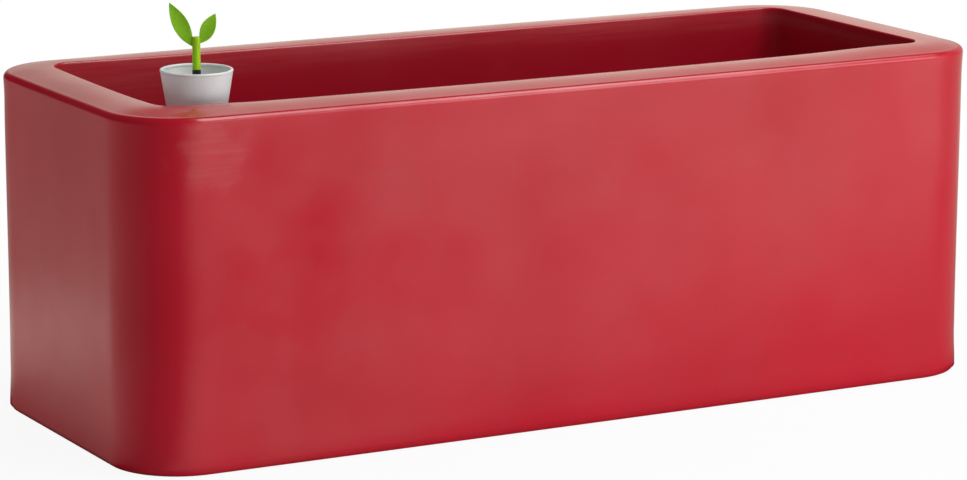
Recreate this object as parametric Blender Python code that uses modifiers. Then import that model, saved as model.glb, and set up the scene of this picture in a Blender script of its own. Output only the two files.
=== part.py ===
"""Self-watering trough planter: a double-walled trough with a raised soil floor and a sprout level gauge.

Metres, +X along the trough, -Y its front, +Z up, origin on the ground under the middle of the trough.
"""
import math

import bmesh
import bpy
from mathutils import Matrix, Vector

# Trough: a rotomoulded skin whose rim turns in over a drafted basin
LENGTH = 0.800
WIDTH = 0.316
HEIGHT = 0.2884
RIM_WIDTH = 0.0401
RIM_FALL = 0.0029
CORNER_RADIUS = 0.059
TOP_EDGE_RADIUS = 0.0043
BASE_EDGE_RADIUS = 0.002
INNER_EDGE_RADIUS = 0.0035
SKIN = 0.0045
BASIN_CORNER_RADIUS = 0.019
BASIN_DRAFT = math.radians(1.2)
FLOOR_HEIGHT = 0.026
FLOOR_FILLET = 0.011
FOOT_BAND = 0.034
FOOT_RECESS = 0.003

# Fits: the gap left between pieces that touch, the easier one of pieces that lift out, and the
# lead-in on the end of a piece that is pushed into another
CLEARANCE = 0.0003
LIFT_CLEARANCE = 0.001
LEAD_IN = 0.0012

# Drain in the middle of the floor, and the vent of the hollow skin
DRAIN_BORE = 0.024
DRAIN_BOSS_WALL = 0.012
PLUG_HEAD_DIAMETER = 0.034
PLUG_HEAD_THICKNESS = 0.0035
GASKET_THICKNESS = 0.0015
GASKET_WIDTH = 0.004
COIN_SLOT_LENGTH = 0.024
COIN_SLOT_WIDTH = 0.0036
COIN_SLOT_DEPTH = 0.0018
OVERFLOW_LEVEL = 0.048
OVERFLOW_REACH = 0.0078
OVERFLOW_WALL = 0.0025
OVERFLOW_FLANGE = 0.003
VENT_DIAMETER = 0.010
VENT_FROM_END = 0.120
VENT_HEAD_DIAMETER = 0.020
VENT_HEAD_THICKNESS = 0.0018
VENT_SHANK = 0.009

# Separator panels, the raised floor under the soil
RESERVOIR_DEPTH = 0.062
PANEL_THICKNESS = 0.003
PANEL_LIP_HEIGHT = 0.009
PANEL_LIP_WALL = 0.0025
PANEL_MARGIN = 0.003
PANEL_GAP = 0.002
PANEL_CORNER_RADIUS = 0.012
SLOT_LENGTH = 0.036
SLOT_WIDTH = 0.0038
SLOT_PITCH_X = 0.052
SLOT_PITCH_Y = 0.027
SLOT_LAND = 0.006
SLOT_END_RADIUS = 0.0015

# Legs under the panels
LEG_DIAMETER = 0.012
LEG_FOOT_DIAMETER = 0.018
LEG_FOOT_THICKNESS = 0.002
LEG_FOOT_FLARE = 0.006
LEG_SHOULDER_DIAMETER = 0.0144
LEG_SHOULDER_HEIGHT = 0.004
LEG_SPIGOT_DIAMETER = 0.008
LEG_SPIGOT_RISE = 0.003
LEG_LAND = 0.003
LEG_FROM_MIDDLE = 0.022

# Wick cups
CUP_TOP_DIAMETER = 0.062
CUP_BASE_DIAMETER = 0.044
CUP_WALL = 0.002
CUP_FLANGE_WIDTH = 0.006
CUP_FLANGE_THICKNESS = 0.0025
CUP_FLOOR_GAP = 0.004
CUP_SLOT_COUNT = 6
CUP_SLOT_WIDTH = 0.004
CUP_SLOT_HEIGHT = 0.029
CUP_SLOT_FROM_BASE = 0.006
CUP_SPACING = 0.140
CUP_FROM_MIDDLE = 0.100

# Level gauge: pot, tube, strainer foot, bush
GAUGE_FROM_END = 0.0534
GAUGE_FROM_FRONT = 0.0529
POT_RISE = 0.0196
POT_TOP_DIAMETER = 0.0586
POT_BASE_DIAMETER = 0.0418
POT_HEIGHT = 0.052
POT_WALL = 0.0018
POT_LIP_RADIUS = 0.0006
POT_FLOOR = 0.0025
POT_SPIGOT = 0.012
POT_HOLE_COUNT = 6
POT_HOLE_DIAMETER = 0.005
TUBE_DIAMETER = 0.040
TUBE_WALL = 0.002
FOOT_HEIGHT = 0.024
FOOT_BASE = 0.003
FOOT_SPIGOT = 0.010
FOOT_WALL = 0.0015
FOOT_SLOT_COUNT = 6
FOOT_SLOT_WIDTH = 0.004
FOOT_SLOT_FROM_ENDS = 0.0045
BUSH_WALL = 0.002
BUSH_FLANGE_WIDTH = 0.002
BUSH_FLANGE_THICKNESS = 0.002

# Float, rod and sprout
ROD_DIAMETER = 0.007
ROD_HEAD_DIAMETER = 0.013
ROD_HEAD_THICKNESS = 0.002
ROD_BELOW_POT_TOP = 0.001
FLOAT_GAP = 0.0012
FLOAT_HEIGHT = 0.034
FLOAT_EDGE = 0.0022
FLOAT_TRAVEL = 0.045
RING_WALL = 0.0035
RING_THICKNESS = 0.004
STEM_DIAMETER = 0.0066
STEM_HEIGHT = 0.0265
STEM_EDGE = 0.0007
STEM_TENON_DIAMETER = 0.0036
STEM_TENON = 0.008
LARGE_LEAF_LENGTH = 0.036
LARGE_LEAF_WIDTH = 0.0128
LARGE_LEAF_ROOT = 0.0080
SMALL_LEAF_LENGTH = 0.0246
SMALL_LEAF_WIDTH = 0.0117
SMALL_LEAF_ROOT = 0.0052
LEAF_LOWER_SHARE = 0.57
LEAF_LOWER_START = 0.18
LEAF_LOWER_FULLNESS = 0.85
LEAF_UPPER_START = 0.06
LEAF_CUP = 0.20
LEAF_LEAN = math.radians(29.6)
LEAF_THICKNESS = 0.0014
LEAF_TENON = 0.0020
SPROUT_TURN = math.radians(-28.9)

# Heights and half sizes that follow from the above
OUTER_TOP = HEIGHT - RIM_FALL
HALF_OPENING_X = LENGTH / 2 - RIM_WIDTH
HALF_OPENING_Y = WIDTH / 2 - RIM_WIDTH
PANEL_Z = FLOOR_HEIGHT + RESERVOIR_DEPTH
PANEL_TOP = PANEL_Z + PANEL_THICKNESS
GAUGE_X = -(HALF_OPENING_X - GAUGE_FROM_END)
GAUGE_Y = -(HALF_OPENING_Y - GAUGE_FROM_FRONT)
POT_TOP = HEIGHT + POT_RISE
POT_BASE = POT_TOP - POT_HEIGHT
FOOT_Z = FLOOR_HEIGHT + CLEARANCE
TUBE_RADIUS = TUBE_DIAMETER / 2
TUBE_INNER = TUBE_RADIUS - TUBE_WALL
ROD_RADIUS = ROD_DIAMETER / 2


def collection(name):
    made = bpy.data.collections.new(name)
    bpy.context.scene.collection.children.link(made)
    return made


def material(name, colour, roughness, metallic=0.0):
    made = bpy.data.materials.new(name)
    made.use_nodes = True
    shader = made.node_tree.nodes["Principled BSDF"]
    shader.inputs["Base Color"].default_value = (*colour, 1.0)
    shader.inputs["Roughness"].default_value = roughness
    shader.inputs["Metallic"].default_value = metallic
    return made


def place(name, mesh, location, look):
    """A piece in the planter's collection, or a cutter when it has no material."""
    made = bpy.data.objects.new(name, mesh)
    made.location = location
    if look is None:
        CUTTERS.objects.link(made)
        made.hide_render = True
        made.display_type = "WIRE"
    else:
        PLANTER.objects.link(made)
        mesh.materials.append(look)
    return made


def rounded_rectangle(length, width, radius, z, steps, centre=(0.0, 0.0)):
    """Points of a rounded rectangle, anticlockwise seen from above."""
    points = []
    for quarter, (side_x, side_y) in enumerate(((1, 1), (-1, 1), (-1, -1), (1, -1))):
        middle = Vector((side_x * (length / 2 - radius), side_y * (width / 2 - radius)))
        for step in range(steps + 1):
            turn = (quarter + step / steps) * math.pi / 2
            points.append(Vector((
                centre[0] + middle.x + radius * math.cos(turn),
                centre[1] + middle.y + radius * math.sin(turn),
                z,
            )))
    return points


def add_loft(shape, sections):
    """Skin over closed sections of one point count, capped at both ends, bottom section first."""
    rings = [[shape.verts.new(point) for point in section] for section in sections]
    count = len(rings[0])
    for lower, upper in zip(rings, rings[1:]):
        for here in range(count):
            following = (here + 1) % count
            shape.faces.new((lower[here], lower[following], upper[following], upper[here]))
    shape.faces.new(list(reversed(rings[0])))
    shape.faces.new(rings[-1])


def finished_mesh(name, shape):
    mesh = bpy.data.meshes.new(name)
    shape.to_mesh(mesh)
    shape.free()
    return mesh


def loft(name, sections, location=(0.0, 0.0, 0.0), look=None):
    shape = bmesh.new()
    add_loft(shape, sections)
    return place(name, finished_mesh(name, shape), location, look)


def turned(name, profile, location, look=None, steps=32):
    """Body of revolution from radius and height pairs, top to bottom down the outer side.

    A profile that starts and ends on the axis is solid. Any other is closed into a ring.
    """
    shape = bmesh.new()
    points = [shape.verts.new((radius, 0.0, height)) for radius, height in profile]
    for first, second in zip(points, points[1:]):
        shape.edges.new((first, second))
    if profile[0][0] > 0:
        shape.edges.new((points[-1], points[0]))
    made = place(name, finished_mesh(name, shape), location, look)
    screw = made.modifiers.new("turn", "SCREW")
    screw.axis = "Z"
    screw.angle = 2 * math.pi
    screw.steps = steps
    screw.render_steps = steps
    screw.use_merge_vertices = True
    screw.merge_threshold = 0.00001
    return made


def cut(piece, cutter):
    boolean = piece.modifiers.new(cutter.name, "BOOLEAN")
    boolean.operation = "DIFFERENCE"
    boolean.solver = "EXACT"
    boolean.object = cutter


def arc(inset, z, radius, start, end, steps):
    """Inset and height pairs along a fillet, angles in degrees from the inward direction."""
    turns = [math.radians(start + (end - start) * step / steps) for step in range(steps + 1)]
    return [(inset + radius * math.cos(turn), z + radius * math.sin(turn)) for turn in turns]


def wall_inset(z):
    """How far the basin wall lies inside the trough's outer face at a height."""
    return RIM_WIDTH + (HEIGHT - INNER_EDGE_RADIUS - z) * math.tan(BASIN_DRAFT)


def trough_section(inset, z, radius, steps=7):
    return rounded_rectangle(LENGTH - 2 * inset, WIDTH - 2 * inset, radius, z, steps)


for leftover in list(bpy.data.objects):
    bpy.data.objects.remove(leftover)
PLANTER = collection("self_watering_planter")
CUTTERS = collection("cutters")

red = material("trough_red", (0.45, 0.025, 0.035), 0.38)
soil_black = material("separator_black", (0.030, 0.030, 0.032), 0.55)
leg_grey = material("leg_grey", (0.060, 0.062, 0.065), 0.50)
cup_grey = material("cup_grey", (0.085, 0.088, 0.092), 0.50)
pipe_grey = material("pipe_grey", (0.18, 0.18, 0.18), 0.45)
plug_black = material("plug_black", (0.025, 0.025, 0.027), 0.45)
rubber = material("gasket_rubber", (0.018, 0.018, 0.018), 0.75)
pot_grey = material("pot_grey", (0.68, 0.675, 0.67), 0.42)
tube_grey = material("tube_grey", (0.48, 0.475, 0.47), 0.42)
bush_white = material("bush_white", (0.75, 0.75, 0.73), 0.40)
foam = material("float_foam", (0.80, 0.78, 0.70), 0.80)
rod_black = material("rod_black", (0.012, 0.012, 0.012), 0.40)
stem_green = material("stem_green", (0.20, 0.45, 0.010), 0.38)
leaf_green = material("leaf_green", (0.14, 0.36, 0.012), 0.38)

# Trough shell: outer wall, rim and basin in one skin, hollow between its walls
outline = [(FOOT_BAND + FOOT_RECESS, FOOT_RECESS), (FOOT_BAND, 0.0)]
outline += arc(BASE_EDGE_RADIUS, BASE_EDGE_RADIUS, BASE_EDGE_RADIUS, 270, 180, 3)
outline += arc(TOP_EDGE_RADIUS, OUTER_TOP - TOP_EDGE_RADIUS, TOP_EDGE_RADIUS, 180, 90, 4)
sections = [trough_section(inset, z, CORNER_RADIUS - inset) for inset, z in outline]
inner = arc(RIM_WIDTH - INNER_EDGE_RADIUS, HEIGHT - INNER_EDGE_RADIUS, INNER_EDGE_RADIUS, 90, 0, 3)
sections += [
    trough_section(inset, z, BASIN_CORNER_RADIUS + RIM_WIDTH - inset) for inset, z in inner
]
fillet_z = FLOOR_HEIGHT + FLOOR_FILLET
fillet_inset = wall_inset(fillet_z) + FLOOR_FILLET
for inset, z in arc(fillet_inset, fillet_z, FLOOR_FILLET, 180, 270, 4):
    radius = BASIN_CORNER_RADIUS - (inset - wall_inset(fillet_z))
    sections.append(trough_section(inset, z, radius))
planter_shell = loft("planter_shell", sections, look=red)

# The hollow between the walls, left full round the drain
hollow = [
    (FOOT_BAND + FOOT_RECESS - SKIN / 2, FOOT_RECESS + SKIN),
    (FOOT_BAND - SKIN / 2, SKIN),
    (SKIN + BASE_EDGE_RADIUS / 2, SKIN),
    (SKIN, SKIN + BASE_EDGE_RADIUS / 2),
    (SKIN, OUTER_TOP - SKIN - TOP_EDGE_RADIUS),
    (SKIN + TOP_EDGE_RADIUS, OUTER_TOP - SKIN),
]
sections = [trough_section(inset, z, CORNER_RADIUS - inset, 5) for inset, z in hollow]
for inset, z in (
    (RIM_WIDTH - SKIN - INNER_EDGE_RADIUS, HEIGHT - SKIN),
    (RIM_WIDTH - SKIN, HEIGHT - SKIN - INNER_EDGE_RADIUS),
    (wall_inset(fillet_z) - SKIN, fillet_z),
):
    sections.append(trough_section(inset, z, BASIN_CORNER_RADIUS + SKIN, 5))
sections.append(trough_section(fillet_inset, FLOOR_HEIGHT - SKIN, BASIN_CORNER_RADIUS - FLOOR_FILLET, 5))
shell_hollow = loft("shell_hollow", sections)

boss_radius = DRAIN_BORE / 2 + DRAIN_BOSS_WALL
drain_boss = turned(
    "drain_boss",
    [(0.0, FLOOR_HEIGHT), (boss_radius, FLOOR_HEIGHT), (boss_radius, 0.0), (0.0, 0.0)],
    (0.0, 0.0, 0.0),
)
cut(shell_hollow, drain_boss)
cut(planter_shell, shell_hollow)

# Drain bore with a counterbore below that takes the plug's head and gasket
bore_radius = DRAIN_BORE / 2
seat_radius = PLUG_HEAD_DIAMETER / 2 + LIFT_CLEARANCE
seat_z = FOOT_RECESS + PLUG_HEAD_THICKNESS + GASKET_THICKNESS + 2 * CLEARANCE
drain_bore = turned(
    "drain_bore",
    [
        (0.0, FLOOR_HEIGHT + SKIN),
        (bore_radius, FLOOR_HEIGHT + SKIN),
        (bore_radius, seat_z),
        (seat_radius, seat_z),
        (seat_radius, -SKIN),
        (0.0, -SKIN),
    ],
    (0.0, 0.0, 0.0),
)
cut(planter_shell, drain_bore)

vent_radius = VENT_DIAMETER / 2
vent_x = LENGTH / 2 - VENT_FROM_END
vent_bore = turned(
    "vent_bore",
    [
        (0.0, FOOT_RECESS + 2 * SKIN),
        (vent_radius, FOOT_RECESS + 2 * SKIN),
        (vent_radius, -SKIN),
        (0.0, -SKIN),
    ],
    (vent_x, 0.0, 0.0),
    steps=20,
)
cut(planter_shell, vent_bore)

# Vent plug, pushed into the mould vent so that the hollow skin stays dry
vent_shank = vent_radius - CLEARANCE
vent_under = FOOT_RECESS - CLEARANCE
vent_top = vent_under + VENT_SHANK
turned(
    "vent_plug",
    [
        (0.0, vent_top),
        (vent_shank - LEAD_IN, vent_top),
        (vent_shank, vent_top - LEAD_IN),
        (vent_shank, vent_under),
        (VENT_HEAD_DIAMETER / 2, vent_under),
        (VENT_HEAD_DIAMETER / 2 - LEAD_IN, vent_under - VENT_HEAD_THICKNESS),
        (0.0, vent_under - VENT_HEAD_THICKNESS),
    ],
    (vent_x, 0.0, 0.0),
    plug_black,
    steps=20,
)

# Overflow pipe, which stands in the drain bore and sets the highest water level
gasket_inner = bore_radius + CLEARANCE
gasket_outer = gasket_inner + GASKET_WIDTH
gasket_z = FLOOR_HEIGHT + CLEARANCE
turned(
    "overflow_gasket",
    [
        (gasket_outer, gasket_z + GASKET_THICKNESS),
        (gasket_outer, gasket_z),
        (gasket_inner, gasket_z),
        (gasket_inner, gasket_z + GASKET_THICKNESS),
    ],
    (0.0, 0.0, 0.0),
    rubber,
    steps=28,
)
pipe_radius = bore_radius - CLEARANCE
pipe_inner = pipe_radius - OVERFLOW_WALL
flange_z = gasket_z + GASKET_THICKNESS + CLEARANCE
pipe_top = FLOOR_HEIGHT + OVERFLOW_LEVEL
pipe_end = FLOOR_HEIGHT - OVERFLOW_REACH
turned(
    "overflow_pipe",
    [
        (pipe_radius - LEAD_IN, pipe_top),
        (pipe_radius, pipe_top - LEAD_IN),
        (pipe_radius, flange_z + OVERFLOW_FLANGE),
        (gasket_outer, flange_z + OVERFLOW_FLANGE),
        (gasket_outer, flange_z),
        (pipe_radius, flange_z),
        (pipe_radius, pipe_end),
        (pipe_inner, pipe_end),
        (pipe_inner, pipe_top),
    ],
    (0.0, 0.0, 0.0),
    pipe_grey,
    steps=28,
)

# Drain plug, pushed up into the bore from below, with a coin slot across its head
plug_head_z = seat_z - GASKET_THICKNESS - 2 * CLEARANCE
turned(
    "drain_gasket",
    [
        (gasket_outer, seat_z - CLEARANCE),
        (gasket_outer, seat_z - CLEARANCE - GASKET_THICKNESS),
        (gasket_inner, seat_z - CLEARANCE - GASKET_THICKNESS),
        (gasket_inner, seat_z - CLEARANCE),
    ],
    (0.0, 0.0, 0.0),
    rubber,
    steps=28,
)
plug_top = pipe_end - LIFT_CLEARANCE
plug_bottom = plug_head_z - PLUG_HEAD_THICKNESS
drain_plug = turned(
    "drain_plug",
    [
        (0.0, plug_top),
        (pipe_radius - LEAD_IN, plug_top),
        (pipe_radius, plug_top - LEAD_IN),
        (pipe_radius, plug_head_z),
        (PLUG_HEAD_DIAMETER / 2, plug_head_z),
        (PLUG_HEAD_DIAMETER / 2, plug_bottom),
        (0.0, plug_bottom),
    ],
    (0.0, 0.0, 0.0),
    plug_black,
    steps=28,
)
coin_slot = loft(
    "coin_slot",
    [
        rounded_rectangle(COIN_SLOT_LENGTH, COIN_SLOT_WIDTH, COIN_SLOT_WIDTH / 3, z, 1)
        for z in (plug_bottom - COIN_SLOT_DEPTH, plug_bottom + COIN_SLOT_DEPTH)
    ],
)
cut(drain_plug, coin_slot)

# Separator panels: two trays side by side with air slots, cup holes and leg holes
panel_inset = wall_inset(PANEL_Z) + PANEL_MARGIN
panel_length = LENGTH / 2 - panel_inset - PANEL_GAP / 2
panel_width = WIDTH - 2 * panel_inset
panel_x = PANEL_GAP / 2 + panel_length / 2
leg_reach = LENGTH / 2 - fillet_inset - LEG_FOOT_DIAMETER / 2 - LEG_LAND
leg_y = WIDTH / 2 - fillet_inset - LEG_FOOT_DIAMETER / 2 - LEG_LAND
cup_hole = CUP_TOP_DIAMETER / 2 + LIFT_CLEARANCE
leg_hole = LEG_SPIGOT_DIAMETER / 2 + CLEARANCE
tube_hole = TUBE_RADIUS + LIFT_CLEARANCE


def tray_section(inset, z):
    size = (panel_length - 2 * inset, panel_width - 2 * inset)
    return rounded_rectangle(*size, PANEL_CORNER_RADIUS - inset, z, 4)


def circle(radius, z, centre, count):
    turns = [2 * math.pi * number / count for number in range(count)]
    return [Vector((centre[0] + radius * math.cos(a), centre[1] + radius * math.sin(a), z)) for a in turns]


for side, sign in (("left", -1), ("right", 1)):
    panel = loft(
        "separator_" + side,
        [
            tray_section(0.0, PANEL_Z),
            tray_section(0.0, PANEL_TOP + PANEL_LIP_HEIGHT),
            tray_section(PANEL_LIP_WALL, PANEL_TOP + PANEL_LIP_HEIGHT),
            tray_section(PANEL_LIP_WALL, PANEL_TOP),
        ],
        (sign * panel_x, 0.0, 0.0),
        soil_black,
    )
    legs = [
        (sign * (x - panel_x), y) for x in (LEG_FROM_MIDDLE, leg_reach) for y in (-leg_y, leg_y)
    ]
    cups = [(sign * (CUP_FROM_MIDDLE + CUP_SPACING * number) - sign * panel_x, 0.0) for number in (0, 1)]
    holes = [(leg_hole, spot, 14) for spot in legs] + [(cup_hole, spot, 28) for spot in cups]
    if side == "left":
        holes.append((tube_hole, (GAUGE_X + panel_x, GAUGE_Y), 32))
    below = PANEL_Z - PANEL_THICKNESS
    above = PANEL_TOP + PANEL_THICKNESS
    shape = bmesh.new()
    for radius, spot, count in holes:
        add_loft(shape, [circle(radius, z, spot, count) for z in (below, above)])
    reach_x = panel_length / 2 - PANEL_LIP_WALL - SLOT_LAND - SLOT_LENGTH / 2
    reach_y = panel_width / 2 - PANEL_LIP_WALL - SLOT_LAND - SLOT_WIDTH / 2
    columns = int(reach_x / SLOT_PITCH_X)
    rows = int(reach_y / SLOT_PITCH_Y)
    for column in range(-columns, columns + 1):
        for row in range(-rows, rows + 1):
            spot = (column * SLOT_PITCH_X, row * SLOT_PITCH_Y)
            clear = True
            for radius, hole, _ in holes:
                along = max(abs(spot[0] - hole[0]) - SLOT_LENGTH / 2, 0.0)
                across = max(abs(spot[1] - hole[1]) - SLOT_WIDTH / 2, 0.0)
                if math.hypot(along, across) < radius + CUP_FLANGE_WIDTH + SLOT_LAND:
                    clear = False
            if clear:
                size = (SLOT_LENGTH, SLOT_WIDTH, SLOT_END_RADIUS)
                add_loft(shape, [rounded_rectangle(*size, z, 2, spot) for z in (below, above)])
    name = "holes_" + side
    cut(panel, place(name, finished_mesh(name, shape), (sign * panel_x, 0.0, 0.0), None))

    # Legs, each with a spigot up through its panel
    shoulder = PANEL_Z - CLEARANCE
    foot_z = FLOOR_HEIGHT + CLEARANCE
    spigot = LEG_SPIGOT_DIAMETER / 2
    for number, (x, y) in enumerate(legs, 1):
        turned(
            f"leg_{side}_{number}",
            [
                (0.0, PANEL_TOP + LEG_SPIGOT_RISE),
                (spigot - LEAD_IN, PANEL_TOP + LEG_SPIGOT_RISE),
                (spigot, PANEL_TOP + LEG_SPIGOT_RISE - LEAD_IN),
                (spigot, shoulder),
                (LEG_SHOULDER_DIAMETER / 2, shoulder),
                (LEG_DIAMETER / 2, shoulder - LEG_SHOULDER_HEIGHT),
                (LEG_DIAMETER / 2, foot_z + LEG_FOOT_THICKNESS + LEG_FOOT_FLARE),
                (LEG_FOOT_DIAMETER / 2, foot_z + LEG_FOOT_THICKNESS),
                (LEG_FOOT_DIAMETER / 2, foot_z),
                (0.0, foot_z),
            ],
            (sign * panel_x + x, y, 0.0),
            leg_grey,
            steps=14,
        )

    # Wick cups, hung in the panel by their flanges, slotted low down to let the water in
    flange_under = PANEL_TOP + CLEARANCE
    flange_top = flange_under + CUP_FLANGE_THICKNESS
    cup_base = FLOOR_HEIGHT + CUP_FLOOR_GAP
    cup_rim = CUP_TOP_DIAMETER / 2
    cup_foot = CUP_BASE_DIAMETER / 2
    for number, (x, y) in enumerate(cups, 1):
        cup = turned(
            f"wick_cup_{side}_{number}",
            [
                (cup_rim + CUP_FLANGE_WIDTH, flange_top),
                (cup_rim + CUP_FLANGE_WIDTH, flange_under),
                (cup_rim, flange_under),
                (cup_foot, cup_base),
                (0.0, cup_base),
                (0.0, cup_base + CUP_WALL),
                (cup_foot - CUP_WALL, cup_base + CUP_WALL),
                (cup_rim - CUP_WALL, flange_top),
            ],
            (sign * panel_x + x, y, 0.0),
            cup_grey,
            steps=28,
        )
        shape = bmesh.new()
        low = cup_base + CUP_SLOT_FROM_BASE
        high = low + CUP_SLOT_HEIGHT
        for slot in range(CUP_SLOT_COUNT):
            turn = Matrix.Rotation(2 * math.pi * slot / CUP_SLOT_COUNT, 3, "Z")
            sections = []
            for z in (low, high):
                near = cup_foot - 3 * CUP_WALL
                box = rounded_rectangle(cup_rim - near, CUP_SLOT_WIDTH, CUP_SLOT_WIDTH / 4, z, 1)
                out = Vector(((cup_rim + near) / 2, 0.0, 0.0))
                sections.append([turn @ (point + out) for point in box])
            add_loft(shape, sections)
        name = f"cup_slots_{side}_{number}"
        cut(cup, place(name, finished_mesh(name, shape), (sign * panel_x + x, y, 0.0), None))

# Gauge: strainer foot on the basin floor, tube standing on it, pot plugged into the tube's top
gauge_spot = (GAUGE_X, GAUGE_Y, 0.0)
foot_top = FOOT_Z + FOOT_HEIGHT
foot_plug = TUBE_INNER - CLEARANCE
foot_inner = foot_plug - FOOT_WALL
gauge_foot = turned(
    "gauge_foot",
    [
        (foot_plug, foot_top + FOOT_SPIGOT),
        (foot_plug, foot_top),
        (TUBE_RADIUS, foot_top),
        (TUBE_RADIUS, FOOT_Z),
        (0.0, FOOT_Z),
        (0.0, FOOT_Z + FOOT_BASE),
        (foot_inner, FOOT_Z + FOOT_BASE),
        (foot_inner, foot_top + FOOT_SPIGOT),
    ],
    gauge_spot,
    tube_grey,
)
shape = bmesh.new()
for slot in range(FOOT_SLOT_COUNT):
    turn = Matrix.Rotation(2 * math.pi * (slot + 0.5) / FOOT_SLOT_COUNT, 3, "Z")
    sections = []
    for z in (FOOT_Z + FOOT_SLOT_FROM_ENDS, foot_top - FOOT_SLOT_FROM_ENDS):
        box = rounded_rectangle(TUBE_RADIUS, FOOT_SLOT_WIDTH, FOOT_SLOT_WIDTH / 4, z, 1)
        sections.append([turn @ (point + Vector((TUBE_RADIUS, 0.0, 0.0))) for point in box])
    add_loft(shape, sections)
cut(gauge_foot, place("foot_slots", finished_mesh("foot_slots", shape), gauge_spot, None))

tube_bottom = foot_top + CLEARANCE
tube_top = POT_BASE - CLEARANCE
turned(
    "gauge_tube",
    [
        (TUBE_RADIUS, tube_top),
        (TUBE_RADIUS, tube_bottom),
        (TUBE_INNER, tube_bottom),
        (TUBE_INNER, tube_top),
    ],
    gauge_spot,
    tube_grey,
)

pot_slope = (POT_TOP_DIAMETER - POT_BASE_DIAMETER) / 2 / POT_HEIGHT
pot_floor = POT_BASE + POT_FLOOR
pot_inner_top = POT_TOP_DIAMETER / 2 - POT_WALL
pot_inner_base = POT_BASE_DIAMETER / 2 - POT_WALL + pot_slope * POT_FLOOR
bush_radius = ROD_RADIUS + CLEARANCE + BUSH_WALL
bush_hole = bush_radius + CLEARANCE
pot_plug = TUBE_INNER - CLEARANCE
gauge_pot = turned(
    "gauge_pot",
    [
        (POT_TOP_DIAMETER / 2 - POT_LIP_RADIUS, POT_TOP),
        (POT_TOP_DIAMETER / 2, POT_TOP - POT_LIP_RADIUS),
        (POT_BASE_DIAMETER / 2, POT_BASE),
        (pot_plug, POT_BASE),
        (pot_plug, POT_BASE - POT_SPIGOT),
        (pot_plug - POT_WALL, POT_BASE - POT_SPIGOT),
        (pot_plug - POT_WALL, POT_BASE),
        (bush_hole, POT_BASE),
        (bush_hole, pot_floor),
        (pot_inner_base, pot_floor),
        (pot_inner_top, POT_TOP - POT_LIP_RADIUS),
        (pot_inner_top + POT_LIP_RADIUS, POT_TOP),
    ],
    gauge_spot,
    pot_grey,
    steps=40,
)
shape = bmesh.new()
hole_ring = (bush_radius + BUSH_FLANGE_WIDTH + pot_plug - POT_WALL) / 2
for hole in range(POT_HOLE_COUNT):
    angle = 2 * math.pi * hole / POT_HOLE_COUNT
    spot = (hole_ring * math.cos(angle), hole_ring * math.sin(angle))
    heights = (POT_BASE - POT_FLOOR, pot_floor + POT_FLOOR)
    add_loft(shape, [circle(POT_HOLE_DIAMETER / 2, z, spot, 12) for z in heights])
cut(gauge_pot, place("pot_holes", finished_mesh("pot_holes", shape), gauge_spot, None))

# Guide bush, pressed into the pot's floor from inside
bush_flange_z = pot_floor + CLEARANCE
bush_bottom = POT_BASE - BUSH_FLANGE_THICKNESS
turned(
    "guide_bush",
    [
        (bush_radius + BUSH_FLANGE_WIDTH, bush_flange_z + BUSH_FLANGE_THICKNESS),
        (bush_radius + BUSH_FLANGE_WIDTH, bush_flange_z),
        (bush_radius, bush_flange_z),
        (bush_radius, bush_bottom),
        (ROD_RADIUS + CLEARANCE, bush_bottom),
        (ROD_RADIUS + CLEARANCE, bush_flange_z + BUSH_FLANGE_THICKNESS),
    ],
    gauge_spot,
    bush_white,
    steps=24,
)

# Float on the rod's lower end, held between the rod's head and a push-on clip
rod_bottom = FOOT_Z + FOOT_BASE + CLEARANCE
float_bottom = rod_bottom + ROD_HEAD_THICKNESS + CLEARANCE
float_top = float_bottom + FLOAT_HEIGHT
float_radius = foot_inner - FLOAT_GAP
ring_inner = ROD_RADIUS + CLEARANCE
ring_outer = ring_inner + RING_WALL
rod_top = POT_TOP - ROD_BELOW_POT_TOP
turned(
    "float",
    [
        (float_radius - FLOAT_EDGE, float_top),
        (float_radius, float_top - FLOAT_EDGE),
        (float_radius, float_bottom + FLOAT_EDGE),
        (float_radius - FLOAT_EDGE, float_bottom),
        (ring_inner, float_bottom),
        (ring_inner, float_top),
    ],
    gauge_spot,
    foam,
    steps=24,
)


def ring(name, bottom, look):
    profile = [
        (ring_outer, bottom + RING_THICKNESS),
        (ring_outer, bottom),
        (ring_inner, bottom),
        (ring_inner, bottom + RING_THICKNESS),
    ]
    return turned(name, profile, gauge_spot, look, steps=20)


ring("float_clip", float_top + CLEARANCE, plug_black)
ring("rod_stop", bush_bottom - CLEARANCE - FLOAT_TRAVEL - RING_THICKNESS, plug_black)
tenon = STEM_TENON_DIAMETER / 2
turned(
    "float_rod",
    [
        (0.0, rod_top + STEM_TENON),
        (tenon, rod_top + STEM_TENON),
        (tenon, rod_top),
        (ROD_RADIUS, rod_top),
        (ROD_RADIUS, rod_bottom + ROD_HEAD_THICKNESS),
        (ROD_HEAD_DIAMETER / 2, rod_bottom + ROD_HEAD_THICKNESS),
        (ROD_HEAD_DIAMETER / 2, rod_bottom),
        (0.0, rod_bottom),
    ],
    gauge_spot,
    rod_black,
    steps=20,
)

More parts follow.
